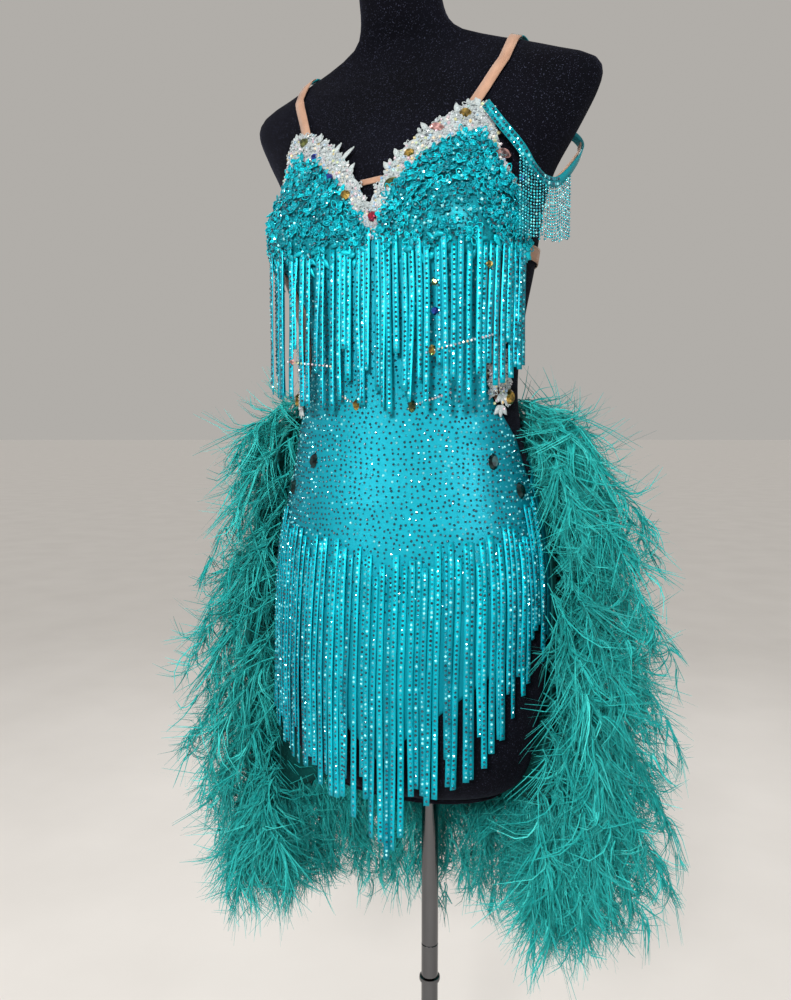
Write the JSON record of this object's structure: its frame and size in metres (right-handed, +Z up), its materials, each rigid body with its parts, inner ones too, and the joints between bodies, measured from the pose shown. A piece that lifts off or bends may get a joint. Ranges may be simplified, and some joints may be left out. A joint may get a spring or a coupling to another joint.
{
  "type": "latin dance dress on dress form stand",
  "caption": "Teal latin dance dress with stoned bodice, lace cups, tape fringe and an ostrich feather skirt, on a black limbless dress form with a chrome pole stand.",
  "frame": {"origin": "centre of the base disc's underside, on the floor under the pole", "axes": "+Z up along the pole, -Y towards the front of the dress, +X towards the wearer's left"},
  "size_m": [0.5629, 0.3929, 1.607],
  "materials": {
    "velvet": "black velvet skin of the dress form",
    "chrome": "polished chrome",
    "stretch": "teal stretch cloth set with small stones",
    "guipure": "teal guipure lace and stoned tape fringe",
    "crystal_lace": "white lace covered in pale iridescent stones",
    "nude": "skin-coloured elastic and mesh",
    "feather": "teal ostrich feather"
  },
  "bodies": {
    "root": {"base_disc": "chrome", "base_flange": "chrome", "pole_lower": "chrome", "pole_bead": "chrome", "pole_coupling": "chrome", "pole_upper": "chrome", "pole_socket": "chrome", "form_torso": "velvet", "form_bottom_plate": "velvet", "form_neck_cap": "velvet", "front_panel": "stretch", "back_panel": "stretch", "back_band": "nude", "gore_band": "nude", "cup_left": "stretch", "cup_lace_left": "guipure", "neck_lace_left": "crystal_lace", "armhole_lace_left": "crystal_lace", "side_mesh_left": "nude", "waist_applique_left": "crystal_lace", "skirt_net_left": "stretch", "strap_front_left": "nude", "strap_back_left": "stretch", "cup_right": "stretch", "cup_lace_right": "guipure", "neck_lace_right": "crystal_lace", "armhole_lace_right": "crystal_lace", "side_mesh_right": "nude", "waist_applique_right": "crystal_lace", "skirt_net_right": "stretch", "strap_front_right": "nude", "strap_back_right": "stretch", "arm_band": "stretch", "arm_elastic": "nude", "arm_fringe": "guipure", "bust_fringe_right": "guipure", "bust_fringe_centre": "guipure", "bust_fringe_left": "guipure", "hip_fringe_right": "guipure", "hip_fringe_centre": "guipure", "hip_fringe_left": "guipure", "plain_ribbon": "stretch", "feathers_upper_left_side": "feather", "feathers_upper_left_back": "feather", "feathers_upper_right_back": "feather", "feathers_upper_right_side": "feather", "feathers_middle_left_side": "feather", "feathers_middle_left_back": "feather", "feathers_middle_right_back": "feather", "feathers_middle_right_side": "feather", "feathers_lower_left_side": "feather", "feathers_lower_left_back": "feather", "feathers_lower_right_back": "feather", "feathers_lower_right_side": "feather"}
  },
  "joints": []
}
